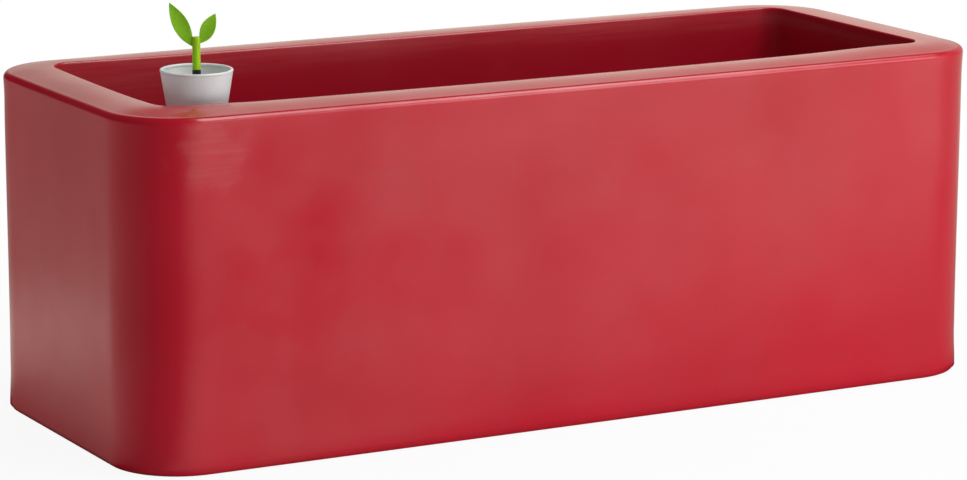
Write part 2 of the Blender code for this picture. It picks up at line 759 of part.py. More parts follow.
# Sprout: a stem on the rod's tenon, slotted across its top for the two leaves
stem_bottom = rod_top + CLEARANCE
stem_top = stem_bottom + STEM_HEIGHT
stem_radius = STEM_DIAMETER / 2
socket = tenon + CLEARANCE
socket_top = rod_top + STEM_TENON + CLEARANCE
sprout_stem = turned(
    "sprout_stem",
    [
        (0.0, stem_top),
        (stem_radius - STEM_EDGE, stem_top),
        (stem_radius, stem_top - STEM_EDGE),
        (stem_radius, stem_bottom),
        (socket, stem_bottom),
        (socket, socket_top),
        (0.0, socket_top),
    ],
    gauge_spot,
    stem_green,
    steps=20,
)
deepest = max(LARGE_LEAF_ROOT, SMALL_LEAF_ROOT) + 2 * CLEARANCE
slot_half = LEAF_THICKNESS / 2 + CLEARANCE
facing = Matrix.Rotation(SPROUT_TURN, 3, "Z")
shape = bmesh.new()
sections = [
    rounded_rectangle(STEM_DIAMETER * 2, 2 * slot_half, slot_half / 4, z, 1)
    for z in (stem_top - deepest, stem_top + deepest)
]
add_loft(shape, [[facing @ point for point in section] for section in sections])
cut(sprout_stem, place("stem_slot", finished_mesh("stem_slot", shape), gauge_spot, None))


def leaf_point(length, width, root, along, across):
    """Point of a blade's middle surface: along runs root to tip, across runs upper edge to lower edge."""
    if across > 0:
        swell = math.sin(math.pi * (LEAF_LOWER_START + (1 - LEAF_LOWER_START) * along))
        half = LEAF_LOWER_SHARE * width * max(swell, 0.0) ** LEAF_LOWER_FULLNESS
    else:
        swell = math.sin(math.pi * (LEAF_UPPER_START + (1 - LEAF_UPPER_START) * along))
        half = (1 - LEAF_LOWER_SHARE) * width * swell
    cup = LEAF_CUP * width * across * across * math.sin(math.pi * along)
    x = stem_radius + length * along * math.sin(LEAF_LEAN) + half * across * math.cos(LEAF_LEAN)
    z = stem_top - root / 2 + length * along * math.cos(LEAF_LEAN) - half * across * math.sin(LEAF_LEAN)
    return Vector((x, -cup, z))


def leaf(name, side, length, width, root, rows=10, columns=6):
    """Cupped blade with a flat tenon in the stem's slot, leaning out to one side of the stem."""
    spread = [2 * column / columns - 1 for column in range(columns + 1)]
    depths = (stem_radius - LEAF_TENON, stem_radius)
    grid = [
        [Vector((x, 0.0, stem_top - CLEARANCE - root * (across + 1) / 2)) for across in spread]
        for x in depths
    ]
    for row in range(1, rows):
        grid.append([leaf_point(length, width, root, row / rows, across) for across in spread])
    mirror = Vector((side, 1.0, 1.0))
    shape = bmesh.new()
    verts = [[shape.verts.new(facing @ (mirror * point)) for point in line] for line in grid]
    tip = shape.verts.new(facing @ (mirror * leaf_point(length, width, root, 1.0, 0.0)))
    for lower, upper in zip(verts, verts[1:]):
        for here in range(columns):
            shape.faces.new((lower[here], lower[here + 1], upper[here + 1], upper[here]))
    for here in range(columns):
        shape.faces.new((verts[-1][here], verts[-1][here + 1], tip))
    blade = place(name, finished_mesh(name, shape), gauge_spot, leaf_green)
    solidify = blade.modifiers.new("thickness", "SOLIDIFY")
    solidify.thickness = LEAF_THICKNESS
    solidify.offset = 0.0
    solidify.use_even_offset = True


leaf("leaf_large", -1, LARGE_LEAF_LENGTH, LARGE_LEAF_WIDTH, LARGE_LEAF_ROOT)
leaf("leaf_small", 1, SMALL_LEAF_LENGTH, SMALL_LEAF_WIDTH, SMALL_LEAF_ROOT)
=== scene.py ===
import math

import bmesh
import bpy
import numpy as np
from mathutils import Euler, Matrix, Vector


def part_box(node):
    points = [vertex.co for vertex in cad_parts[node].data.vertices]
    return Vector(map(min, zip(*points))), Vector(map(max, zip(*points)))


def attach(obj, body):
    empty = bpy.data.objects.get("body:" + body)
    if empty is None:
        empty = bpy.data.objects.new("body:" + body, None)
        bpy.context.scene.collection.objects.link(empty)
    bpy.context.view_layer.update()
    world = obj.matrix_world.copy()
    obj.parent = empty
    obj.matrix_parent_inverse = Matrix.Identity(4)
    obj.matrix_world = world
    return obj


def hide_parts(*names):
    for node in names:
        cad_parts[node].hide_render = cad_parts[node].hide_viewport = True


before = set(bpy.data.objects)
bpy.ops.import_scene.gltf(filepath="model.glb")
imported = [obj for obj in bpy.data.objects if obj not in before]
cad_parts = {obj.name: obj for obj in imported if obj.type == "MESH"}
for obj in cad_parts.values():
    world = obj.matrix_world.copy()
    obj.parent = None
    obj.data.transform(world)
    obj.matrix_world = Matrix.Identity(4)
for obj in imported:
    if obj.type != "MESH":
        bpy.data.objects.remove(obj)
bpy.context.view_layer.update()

# Trough shell: one hollow skin of red polyethylene, rotomoulded in a single shot, with a broad rim
# that crowns up and falls a little to the basin's cut edge. It leaves the mould satin and a little
# cloudy, and its large walls are never quite flat once they have cooled. The top of the basin wall
# carries pale trim streaks together with painted light that fades down from the edge.
shell_low, shell_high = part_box("planter_shell")
SHELL_LENGTH, SHELL_WIDTH, SHELL_HEIGHT = shell_high - shell_low
RIM_WIDTH = 0.0401
RIM_END_WIDENING = 0.0019
RIM_FALL = 0.0024
CROWN_PLACE = 0.70
INNER_FALL = 0.0005
EDGE_LIFT = 0.0009
EDGE_SAG = 0.0014
EDGE_BUMPS = (
    (-0.334, -0.118, 0.0014, 0.034),
    (-0.358, -0.035, -0.0008, 0.090),
    (0.310, -0.118, 0.0010, 0.050),
    (-0.345, 0.118, 0.0007, 0.045),
)
CORNER_RADIUS = 0.059
TOP_EDGE_RADIUS = 0.006
BASE_EDGE_RADIUS = 0.0034
BASE_FLARE = 0.0009
BASE_FLARE_HEIGHT = 0.034
TOP_FLARE = 0.0008
TOP_FLARE_HEIGHT = 0.026
INNER_EDGE_RADIUS = 0.0017
BASIN_CORNER_RADIUS = 0.019
BASIN_DRAFT = math.radians(1.2)
FLOOR_HEIGHT = 0.026
FLOOR_FILLET = 0.011
FOOT_BAND = 0.034
FOOT_RECESS = 0.003
DRAIN_RADIUS = 0.012
DRAIN_SEAT_RADIUS = 0.018
DRAIN_SEAT_HEIGHT = 0.0086
DRAIN_EDGE_RADIUS = 0.0008
SIDE_BOW = (0.0014, 0.0040)
END_BOW = (0.0, 0.0012)
BOW_REACH = 0.74
WALL_WAVE = 0.00025
WALL_WAVE_FADE = 0.03
WALL_WAVE_RIM_GAP = 0.012
WALL_WAVE_MIDDLE = 0.1
SCUFF_PLACE = (-0.335, 0.256)
SCUFF_REACH = (0.030, 0.028)
DULL_PLACE = (-0.272, 0.166)
DULL_REACH = (0.115, 0.118)
RIM_DULL_PLACE = (-0.368, -0.124)
RIM_DULL_REACH = 0.034
RIM_DULLNESS = 1.7
TRIM_AND_LIGHT_START = 0.05
TRIM_AND_LIGHT_DEPTH = 0.022
TRIM_AND_LIGHT_LEFT_DEPTH = 0.065
OUTER_TOP = SHELL_HEIGHT - RIM_FALL
INNER_TILT = math.atan(2 * INNER_FALL / ((1 - CROWN_PLACE) * (RIM_WIDTH - TOP_EDGE_RADIUS)))
BASIN_TOP = SHELL_HEIGHT - INNER_FALL - INNER_EDGE_RADIUS * math.cos(INNER_TILT)
SAME_POINT = 1e-7
RED_DARK = (0.422, 0.0066, 0.0188, 1.0)
RED_LIGHT = (0.470, 0.0080, 0.0236, 1.0)
# Pale red of the rubbed scuff, and of the painted light at the top of the basin wall.
RED_PALE_WEAR_AND_LIGHT = (0.50, 0.085, 0.095, 1.0)


def run(start, end, steps):
    """Straight stretch of a profile: even points from start towards end, the end left out."""
    share = np.linspace(0.0, 1.0, steps, endpoint=False)[:, None]
    return np.array(start) + (np.array(end) - np.array(start)) * share


def bend(centre, radius, start, end, steps):
    """Round stretch of a profile: centre plus radius times cosine and sine, degrees start to end."""
    turn = np.radians(np.linspace(start, end, steps, endpoint=False))[:, None]
    return np.array(centre) + radius * np.hstack((np.cos(turn), np.sin(turn)))


def smooth(share):
    """Ease from 0 to 1: three squares less two cubes of the share, held between 0 and 1."""
    held = np.clip(share, 0.0, 1.0)
    return held * held * (3 - 2 * held)


def wall_inset(z):
    """Basin wall's distance inside the outer face: it leans in by the mould's draft below the edge."""
    return RIM_WIDTH + (BASIN_TOP - z) * math.tan(BASIN_DRAFT)


def level_rows(points, radius, inner=0.0):
    """Rows of half length, half width, corner radius, height and nearness to the basin's edge.

    The points are inset and height, and the ends are inset more than the sides near the basin's edge.
    """
    inset, z = points.T
    near_edge = np.broadcast_to(inner, z.shape)
    half_x = SHELL_LENGTH / 2 - inset - RIM_END_WIDENING * near_edge
    half_y = SHELL_WIDTH / 2 - inset
    return np.stack((half_x, half_y, np.broadcast_to(radius, z.shape), z, near_edge), 1)


def round_rows(points):
    """Rows of circles, from points of radius and height: both half sides equal the corner radius."""
    radius, z = points.T
    return np.stack((radius, radius, radius, z, np.zeros_like(z)), 1)


def drain_profile():
    """Drain's radius and height: a rounded edge in the floor, the bore, the seat and its rounded mouth."""
    edge = DRAIN_EDGE_RADIUS
    bore_top = FLOOR_HEIGHT - edge
    bore_low = DRAIN_SEAT_HEIGHT + edge
    mouth = DRAIN_SEAT_RADIUS + edge
    return np.concatenate((
        run((DRAIN_RADIUS + 2 * edge, FLOOR_HEIGHT), (DRAIN_RADIUS + edge, FLOOR_HEIGHT), 1),
        bend((DRAIN_RADIUS + edge, bore_top), edge, 90, 180, 4),
        run((DRAIN_RADIUS, bore_top), (DRAIN_RADIUS, bore_low), 5),
        bend((DRAIN_RADIUS + edge, bore_low), edge, 180, 270, 4),
        run((DRAIN_RADIUS + edge, DRAIN_SEAT_HEIGHT), (DRAIN_SEAT_RADIUS, DRAIN_SEAT_HEIGHT), 4),
        run((DRAIN_SEAT_RADIUS, DRAIN_SEAT_HEIGHT), (DRAIN_SEAT_RADIUS, FOOT_RECESS + edge), 4),
        bend((mouth, FOOT_RECESS + edge), edge, 180, 270, 4),
        run((mouth, FOOT_RECESS), (mouth + edge, FOOT_RECESS), 2),
    ))


def shell_profile():
    """Closed profile: out under the foot, up outside, over the rim, down the basin, back by the drain."""
    recess_inset = FOOT_BAND + FOOT_RECESS
    under = np.concatenate((
        run((recess_inset, FOOT_RECESS), (FOOT_BAND, 0.0), 4),
        run((FOOT_BAND, 0.0), (BASE_EDGE_RADIUS, 0.0), 6),
        bend((BASE_EDGE_RADIUS, BASE_EDGE_RADIUS), BASE_EDGE_RADIUS, 270, 180, 6),
    ))
    outside = np.concatenate((
        run((0.0, BASE_EDGE_RADIUS), (0.0, BASE_FLARE_HEIGHT), 8),
        run((0.0, BASE_FLARE_HEIGHT), (0.0, OUTER_TOP - TOP_EDGE_RADIUS), 40),
        bend((TOP_EDGE_RADIUS, OUTER_TOP - TOP_EDGE_RADIUS), TOP_EDGE_RADIUS, 180, 90, 12),
    ))
    outside_radius = CORNER_RADIUS - outside[:, 0]
    outside[:, 0] -= BASE_FLARE * (1 - smooth(outside[:, 1] / BASE_FLARE_HEIGHT))
    outside[:, 0] -= TOP_FLARE * np.clip((outside[:, 1] - OUTER_TOP) / TOP_FLARE_HEIGHT + 1, 0, 1) ** 2
    share = np.linspace(0.0, 1.0, 24, endpoint=False)
    rim_start = TOP_EDGE_RADIUS - TOP_FLARE
    rim_end = RIM_WIDTH - INNER_EDGE_RADIUS * (1 - math.sin(INNER_TILT))
    rim_inset = rim_start + (rim_end - rim_start) * share
    rise = np.sin(np.clip(share / CROWN_PLACE, 0, 1) * math.pi / 2)
    drop = np.clip((share - CROWN_PLACE) / (1 - CROWN_PLACE), 0, 1) ** 2
    rim = np.stack((rim_inset, OUTER_TOP + RIM_FALL * rise - INNER_FALL * drop), 1)
    basin_edge = BASIN_CORNER_RADIUS + RIM_WIDTH
    rim_radius = CORNER_RADIUS * (1 - share) + basin_edge * share - rim_inset
    edge_centre = (RIM_WIDTH - INNER_EDGE_RADIUS, BASIN_TOP)
    edge = bend(edge_centre, INNER_EDGE_RADIUS, 90 - math.degrees(INNER_TILT), 0, 8)
    fillet_z = FLOOR_HEIGHT + FLOOR_FILLET
    fillet_inset = wall_inset(fillet_z) + FLOOR_FILLET
    basin = run((RIM_WIDTH, BASIN_TOP), (wall_inset(fillet_z), fillet_z), 38)
    basin_widening = (basin[:, 1] - fillet_z) / (BASIN_TOP - fillet_z)
    fillet = bend((fillet_inset, fillet_z), FLOOR_FILLET, 180, 270, 8)
    floor_edge = np.array([[fillet_inset, FLOOR_HEIGHT]])
    floor_row = level_rows(floor_edge, BASIN_CORNER_RADIUS - FLOOR_FILLET)[0]
    recess_edge = np.array([[recess_inset + FOOT_RECESS, FOOT_RECESS]])
    recess_row = level_rows(recess_edge, CORNER_RADIUS - recess_edge[:, 0])[0]
    drain = round_rows(drain_profile())
    return np.concatenate((
        run(drain[-1], recess_row, 12),
        recess_row[None],
        level_rows(under, CORNER_RADIUS - under[:, 0]),
        level_rows(outside, outside_radius),
        level_rows(rim, rim_radius, share),
        level_rows(edge, basin_edge - edge[:, 0], 1.0),
        level_rows(basin, BASIN_CORNER_RADIUS, basin_widening),
        level_rows(fillet, BASIN_CORNER_RADIUS - (fillet[:, 0] - fillet[0, 0])),
        run(floor_row, drain[0], 14),
        drain[:-1],
    ))


def rounded_path(long_steps, short_steps, corner_steps):
    """Path round a rounded rectangle: the corner centre's share of each half side, and the turn.

    A straight side slides the corner's centre at a fixed turn, and a corner turns about a fixed centre.
    """
    sides = (
        ((1, -1), (1, 1), short_steps),
        ((1, 1), (-1, 1), long_steps),
        ((-1, 1), (-1, -1), short_steps),
        ((-1, -1), (1, -1), long_steps),
    )
    stretches = []
    for quarter, (start, end, steps) in enumerate(sides):
        straight = np.full(steps, quarter * math.pi / 2)
        corner = quarter * math.pi / 2 + np.linspace(0.0, math.pi / 2, corner_steps, endpoint=False)
        stretches.append(np.column_stack((run(start, end, steps), straight)))
        stretches.append(np.column_stack((np.tile(end, (corner_steps, 1)), corner)))
    return np.concatenate(stretches).T


def carried_round(profile, path):
    """Profile rows carried round a rounded path: corner centre plus radius times cosine and sine.

    The basin's edge stands up at the ends and sags as a parabola along the sides. Each bump or dip in
    it is a bell curve about its own x and y, with its own height and reach.
    """
    half_x, half_y, radius, z, near_edge = (column[:, None] for column in profile.T)
    centre_x, centre_y, turn = path
    x = centre_x * (half_x - radius) + radius * np.cos(turn)
    y = centre_y * (half_y - radius) + radius * np.sin(turn)
    edge_rise = EDGE_LIFT - EDGE_SAG * (1 - (x / half_x) ** 2)
    for bump_x, bump_y, height, reach in EDGE_BUMPS:
        edge_rise += height * np.exp(-((x - bump_x) ** 2 + (y - bump_y) ** 2) / reach ** 2)
    return np.stack((x, y, z + edge_rise * near_edge ** 2), 2)


def wall_bow(bow, up, along, across):
    """Bow of a wall: a parabola along it, base to top, that fades to the middle of the trough."""
    base, top = bow
    return (base + (top - base) * up) * (1 - along ** 2) * np.clip(across / BOW_REACH, -1, 1)


def cooled(grid):
    """Grid with its walls bowed out and rippled, as they cool.

    The ripple is a few slow sine waves along and up the tall walls, pushed out from the middle.
    """
    x, y, z = np.moveaxis(grid, 2, 0)
    across_x, across_y = 2 * x / SHELL_LENGTH, 2 * y / SHELL_WIDTH
    up = z / SHELL_HEIGHT
    along = x + 0.8 * y
    wave = (
        np.sin(9.1 * along + 0.7) * np.sin(13.0 * z + 0.4)
        + 0.6 * np.sin(17.3 * along - 1.1 + 6.0 * z)
        + 0.4 * np.sin(31.0 * along + 2.3) * np.sin(27.0 * z - 0.9)
    )
    above_floor = smooth((z - FLOOR_HEIGHT - FLOOR_FILLET) / WALL_WAVE_FADE)
    below_rim = smooth((OUTER_TOP - WALL_WAVE_RIM_GAP - z) / WALL_WAVE_FADE)
    out = np.hypot(x / SHELL_LENGTH, y / SHELL_WIDTH)
    push = WALL_WAVE * wave * (above_floor * below_rim) / np.maximum(out, WALL_WAVE_MIDDLE)
    moved_x = wall_bow(END_BOW, up, across_y, across_x) + x / SHELL_LENGTH * push
    moved_y = wall_bow(SIDE_BOW, up, across_x, across_y) + y / SHELL_WIDTH * push
    return grid + np.stack((moved_x, moved_y, np.zeros_like(z)), 2)


def front_patch(grid, place, reach):
    """Soft patch on the front: a bell curve of the distance from its middle along and up the wall."""
    x, y, z = np.moveaxis(grid, 2, 0)
    away = np.hypot((x - place[0]) / reach[0], (z - place[1]) / reach[1])
    return np.exp(-away * away) * (y < -SHELL_WIDTH / 2 + RIM_WIDTH / 2) * (z < OUTER_TOP)


def rim_patch(grid, place, reach):
    """Soft patch on the rim: a bell curve of the distance from its middle on the rim's top."""
    x, y, z = np.moveaxis(grid, 2, 0)
    away = np.hypot(x - place[0], y - place[1]) / reach
    return np.exp(-away * away) * (z > BASIN_TOP)


def trim_and_painted_light_band(grid):
    """Trim streaks and painted light under the basin's edge: full there, fading down the wall, deeper at
    left.
    """
    x, y, z = np.moveaxis(grid, 2, 0)
    inside_x = np.abs(x) < (SHELL_LENGTH - RIM_WIDTH) / 2
    inside_y = np.abs(y) < (SHELL_WIDTH - RIM_WIDTH) / 2
    left = 1 - smooth((x + SHELL_LENGTH / 2) / SHELL_WIDTH)
    reach = TRIM_AND_LIGHT_DEPTH + (TRIM_AND_LIGHT_LEFT_DEPTH - TRIM_AND_LIGHT_DEPTH) * left
    depth = (BASIN_TOP - z) / reach
    return smooth(depth / TRIM_AND_LIGHT_START + 1) * (1 - smooth(depth)) * (inside_x & inside_y)


def surface(name, grid, material, wrap_rows=False, wrap_columns=True, **shares):
    """Mesh over a grid of points: a quad between each four neighbours, with a share at each point.

    It is closed where it wraps, and the points that meet at a pole are merged.
    """
    rows, columns = grid.shape[:2]
    row = np.arange(rows if wrap_rows else rows - 1)[:, None]
    column = np.arange(columns if wrap_columns else columns - 1)[None, :]
    here = row * columns
    beside = (column + 1) % columns
    above = (row + 1) % rows * columns
    corners = np.broadcast_arrays(here + column, here + beside, above + beside, above + column)
    quads = np.stack(corners, 2).reshape(-1, 4)
    mesh = bpy.data.meshes.new(name)
    mesh.vertices.add(rows * columns)
    mesh.vertices.foreach_set("co", grid.reshape(-1).astype(np.float32))
    mesh.loops.add(quads.size)
    mesh.loops.foreach_set("vertex_index", quads.reshape(-1).astype(np.int32))
    mesh.polygons.add(len(quads))
    mesh.polygons.foreach_set("loop_start", np.arange(0, quads.size, 4, dtype=np.int32))
    for share, values in shares.items():
        layer = mesh.attributes.new(share, "FLOAT", "POINT")
        layer.data.foreach_set("value", values.reshape(-1).astype(np.float32))
    mesh.update(calc_edges=True)
    welded = bmesh.new()
    welded.from_mesh(mesh)
    bmesh.ops.remove_doubles(welded, verts=welded.verts, dist=SAME_POINT)
    bmesh.ops.dissolve_degenerate(welded, edges=welded.edges, dist=SAME_POINT / 10)
    welded.to_mesh(mesh)
    welded.free()
    mesh.shade_smooth()
    mesh.materials.append(material)
    made = bpy.data.objects.new(name, mesh)
    bpy.context.scene.collection.objects.link(made)
    return made


def plastic(name):
    """Empty plastic finish: its node tree, its shader and its Object coordinates."""
    made = bpy.data.materials.new(name)
    made.use_nodes = True
    tree = made.node_tree
    place = tree.nodes.new("ShaderNodeTexCoord").outputs["Object"]
    return made, tree, tree.nodes["Principled BSDF"], place


def noise(tree, place, scale, detail, stretch=(1, 1, 1)):
    """Noise over the piece, drawn out along an axis where its stretch is small."""
    stretched = tree.nodes.new("ShaderNodeMapping")
    stretched.inputs["Scale"].default_value = stretch
    tree.links.new(place, stretched.inputs["Vector"])
    texture = tree.nodes.new("ShaderNodeTexNoise")
    texture.inputs["Scale"].default_value = scale
    texture.inputs["Detail"].default_value = detail
    tree.links.new(stretched.outputs["Vector"], texture.inputs["Vector"])
    return texture.outputs["Fac"]


def spread(tree, share, low, high, start=0.3, end=0.7, soft=False):
    """Value taken from start to end, the middle of a noise unless given, to a range from low to high."""
    ranged = tree.nodes.new("ShaderNodeMapRange")
    ranged.interpolation_type = "SMOOTHSTEP" if soft else "LINEAR"
    ranged.inputs["From Min"].default_value = start
    ranged.inputs["From Max"].default_value = end
    ranged.inputs["To Min"].default_value = low
    ranged.inputs["To Max"].default_value = high
    tree.links.new(share, ranged.inputs["Value"])
    return ranged.outputs["Result"]


def joined(tree, operation, first, second):
    """Two values added, multiplied or compared, as the operation says."""
    node = tree.nodes.new("ShaderNodeMath")
    node.operation = operation
    tree.links.new(first, node.inputs[0])
    tree.links.new(second, node.inputs[1])
    return node.outputs["Value"]


def shades(tree, share, dark, light):
    """Two close colours, dark to light, over the middle of a noise."""
    ramp = tree.nodes.new("ShaderNodeValToRGB")
    ramp.color_ramp.elements[0].position = 0.32
    ramp.color_ramp.elements[0].color = dark
    ramp.color_ramp.elements[1].position = 0.68
    ramp.color_ramp.elements[1].color = light
    tree.links.new(share, ramp.inputs["Fac"])
    return ramp.outputs["Color"]


def relief(tree, share, height, under=None):
    """Bump of a real height from a noise, over another bump where there is one."""
    bump = tree.nodes.new("ShaderNodeBump")
    bump.inputs["Strength"].default_value = 1.0
    bump.inputs["Distance"].default_value = height
    tree.links.new(share, bump.inputs["Height"])
    if under:
        tree.links.new(under, bump.inputs["Normal"])
    return bump.outputs["Normal"]


def carried_share(tree, name):
    """Share of that name that the mesh carries at its points."""
    node = tree.nodes.new("ShaderNodeAttribute")
    node.attribute_name = name
    return node.outputs["Fac"]


def rotomoulded_red():
    """Satin red: soft clouds in colour and gloss, a slow ripple, a fine grain, pale rubbed marks and
    painted light.

    The trim marks are streaks round the basin, with painted light that is pale at the wall's top and fades
    down it; the scuff is a ragged patch of level scratches, and the dull patches lose their gloss in
    mottles.
    """
    made, tree, shader, place = plastic("rotomoulded_red")
    streaks = noise(tree, place, scale=9.0, detail=5.0, stretch=(1, 1, 22))
    # Painted light: the trim band's pale colour at the top of the basin wall stands for light falling
    # there, with real trim streaks in it.
    trimmed = joined(tree, "MULTIPLY", carried_share(tree, "trimmed"), spread(tree, streaks, 0.05, 0.60))
    flecks = noise(tree, place, scale=60.0, detail=4.0)
    ragged = joined(tree, "ADD", carried_share(tree, "scuffed"), spread(tree, flecks, -0.2, 0.2))
    rubbed = spread(tree, ragged, 0.0, 1.0, start=0.25, end=0.65, soft=True)
    scratches = noise(tree, place, scale=20.0, detail=6.0, stretch=(1, 1, 14))
    scuffed = joined(tree, "MULTIPLY", rubbed, spread(tree, scratches, 0.12, 0.38))
    clouds = noise(tree, place, scale=5.5, detail=3.0)
    pale = tree.nodes.new("ShaderNodeMixRGB")
    pale.inputs["Color2"].default_value = RED_PALE_WEAR_AND_LIGHT
    tree.links.new(joined(tree, "MAXIMUM", trimmed, scuffed), pale.inputs["Fac"])
    tree.links.new(shades(tree, clouds, RED_DARK, RED_LIGHT), pale.inputs["Color1"])
    tree.links.new(pale.outputs["Color"], shader.inputs["Base Color"])
    satin = noise(tree, place, scale=8.0, detail=4.0)
    tree.links.new(spread(tree, satin, 0.18, 0.27), shader.inputs["Roughness"])
    mottles = noise(tree, place, scale=15.0, detail=9.0)
    mottled = joined(tree, "ADD", carried_share(tree, "dull"), spread(tree, mottles, 0.24, -0.24))
    dulled = spread(tree, mottled, 1.0, 0.06, start=0.15, end=1.75, soft=True)
    gloss = joined(tree, "MULTIPLY", dulled, spread(tree, mottles, 0.42, 0.62))
    tree.links.new(gloss, shader.inputs["Specular IOR Level"])
    ripple = relief(tree, noise(tree, place, scale=22.0, detail=2.0), height=0.0004)
    grain = noise(tree, place, scale=420.0, detail=2.0)
    tree.links.new(relief(tree, grain, height=0.00002, under=ripple), shader.inputs["Normal"])
    return made


shell_grid = carried_round(shell_profile(), rounded_path(long_steps=130, short_steps=52, corner_steps=26))
shell = surface(
    "trough_skin",
    cooled(shell_grid),
    rotomoulded_red(),
    wrap_rows=True,
    # Trim streaks with painted light: pale at the top of the basin wall, fading down it.
    trimmed=trim_and_painted_light_band(shell_grid),
    scuffed=front_patch(shell_grid, SCUFF_PLACE, SCUFF_REACH),
    dull=(
        front_patch(shell_grid, DULL_PLACE, DULL_REACH)
        + RIM_DULLNESS * rim_patch(shell_grid, RIM_DULL_PLACE, RIM_DULL_REACH)
    ),
)
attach(shell, "planter")
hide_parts("planter_shell")

# Floor fittings: a grey overflow pipe that stands in the drain, black plugs pushed into the drain and
# the mould's vent, and flat rubber gaskets under the pipe's flange and over the plug's head.
EDGE_BREAK = 0.0003


def moulded(name, dark, light, roughness, cloud_scale, grain_scale, grain_height):
    """Injection-moulded plastic: two close shades in soft clouds, a drifting gloss and a fine grain."""
    made, tree, shader, place = plastic(name)
    cloud = noise(tree, place, cloud_scale, detail=4.0)
    tree.links.new(shades(tree, cloud, (*dark, 1.0), (*light, 1.0)), shader.inputs["Base Color"])
    tree.links.new(spread(tree, cloud, *roughness), shader.inputs["Roughness"])
    grain = noise(tree, place, grain_scale, detail=3.0)
    tree.links.new(relief(tree, grain, grain_height), shader.inputs["Normal"])
    return made


def finish_solid(node, material, edge=EDGE_BREAK):
    """Solid as it comes, with its facets joined, its edges broken by a small round, and a finish."""
    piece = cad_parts[node]
    piece.data.shade_smooth()
    weld = piece.modifiers.new("joined", "WELD")
    weld.merge_threshold = 0.00001
    rounded = piece.modifiers.new("broken_edges", "BEVEL")
    rounded.width = edge
    rounded.segments = 2
    rounded.limit_method = "ANGLE"
    rounded.angle_limit = math.radians(40)
    piece.modifiers.new("even_shading", "WEIGHTED_NORMAL")
    piece.data.materials.clear()
    piece.data.materials.append(material)


pipe_grey = moulded(
    "pipe_grey", dark=(0.16, 0.16, 0.16), light=(0.20, 0.20, 0.197), roughness=(0.36, 0.48),
    cloud_scale=40, grain_scale=900, grain_height=0.00002,
)
plug_black = moulded(
    "plug_black", dark=(0.020, 0.020, 0.022), light=(0.030, 0.030, 0.032), roughness=(0.38, 0.5),
    cloud_scale=60, grain_scale=1200, grain_height=0.00002,
)
gasket_rubber = moulded(
    "gasket_rubber", dark=(0.013, 0.013, 0.013), light=(0.023, 0.023, 0.023), roughness=(0.66, 0.8),
    cloud_scale=80, grain_scale=1500, grain_height=0.00004,
)
finish_solid("overflow_pipe", pipe_grey)
finish_solid("vent_plug", plug_black)
finish_solid("drain_plug", plug_black)
finish_solid("overflow_gasket", gasket_rubber)
finish_solid("drain_gasket", gasket_rubber)

# Separators: two black injection-moulded trays on push-in legs, with slotted wick cups hung in their
# holes. The tray's tool is spark-eroded, so the plastic has a fine even grain.
separator_black = moulded(
    "separator_black", dark=(0.024, 0.024, 0.026), light=(0.036, 0.036, 0.038), roughness=(0.46, 0.6),
    cloud_scale=14, grain_scale=1100, grain_height=0.00005,
)
leg_grey = moulded(
    "leg_grey", dark=(0.052, 0.054, 0.057), light=(0.068, 0.070, 0.074), roughness=(0.45, 0.58),
    cloud_scale=30, grain_scale=1100, grain_height=0.00003,
)
cup_grey = moulded(
    "cup_grey", dark=(0.074, 0.076, 0.080), light=(0.096, 0.099, 0.104), roughness=(0.42, 0.56),
    cloud_scale=30, grain_scale=1100, grain_height=0.00003,
)
for side in ("left", "right"):
    finish_solid(f"separator_{side}", separator_black)
    for number in range(1, 5):
        finish_solid(f"leg_{side}_{number}", leg_grey)
    for number in range(1, 3):
        finish_solid(f"wick_cup_{side}_{number}", cup_grey)

# Gauge: a light grey flowerpot that takes the water, plugged into a tube on a slotted strainer foot,
# with a white guide bush for the rod pressed into the pot's floor.
pot_low, pot_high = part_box("gauge_pot")
POT_X, POT_Y = ((pot_low + pot_high) / 2).xy
POT_TOP = pot_high.z
POT_RADIUS = (pot_high.x - pot_low.x) / 2
POT_EDGE_BREAK = 0.0005
POT_GLOW = 0.35
POT_GLOW_DEPTH = 0.004
LIP_WIDTH = 0.0026
LIP_DEPTH = 0.0024
LIP_SQUARENESS = 0.8


def rooted(wave, power):
    """Wave between -1 and 1 made fuller or thinner: a power of its size, with its sign kept."""
    return np.sign(wave) * np.abs(wave) ** power


def lip_grid(rows=40, columns=120):
    """Ring whose section is a squared oval: a root of the sine and cosine, turned about the pot's axis."""
    section = np.linspace(0.0, 2 * math.pi, rows, endpoint=False)[:, None]
    turn = np.linspace(0.0, 2 * math.pi, columns, endpoint=False)
    radius = POT_RADIUS - LIP_WIDTH / 2 + LIP_WIDTH / 2 * rooted(np.cos(section), LIP_SQUARENESS)
    z = POT_TOP - LIP_DEPTH / 2 + LIP_DEPTH / 2 * rooted(np.sin(section), LIP_SQUARENESS)
    x = POT_X + radius * np.cos(turn)
    y = POT_Y + radius * np.sin(turn)
    return np.stack((x, y, np.broadcast_to(z, x.shape)), 2)[::-1]


def let_light_in(material, glow, depth):
    """Plastic that lets a share of the light in, to a depth for red, green and blue."""
    shader = material.node_tree.nodes["Principled BSDF"]
    shader.inputs["Subsurface Weight"].default_value = glow
    shader.inputs["Subsurface Radius"].default_value = depth
    shader.inputs["Subsurface Scale"].default_value = 1.0


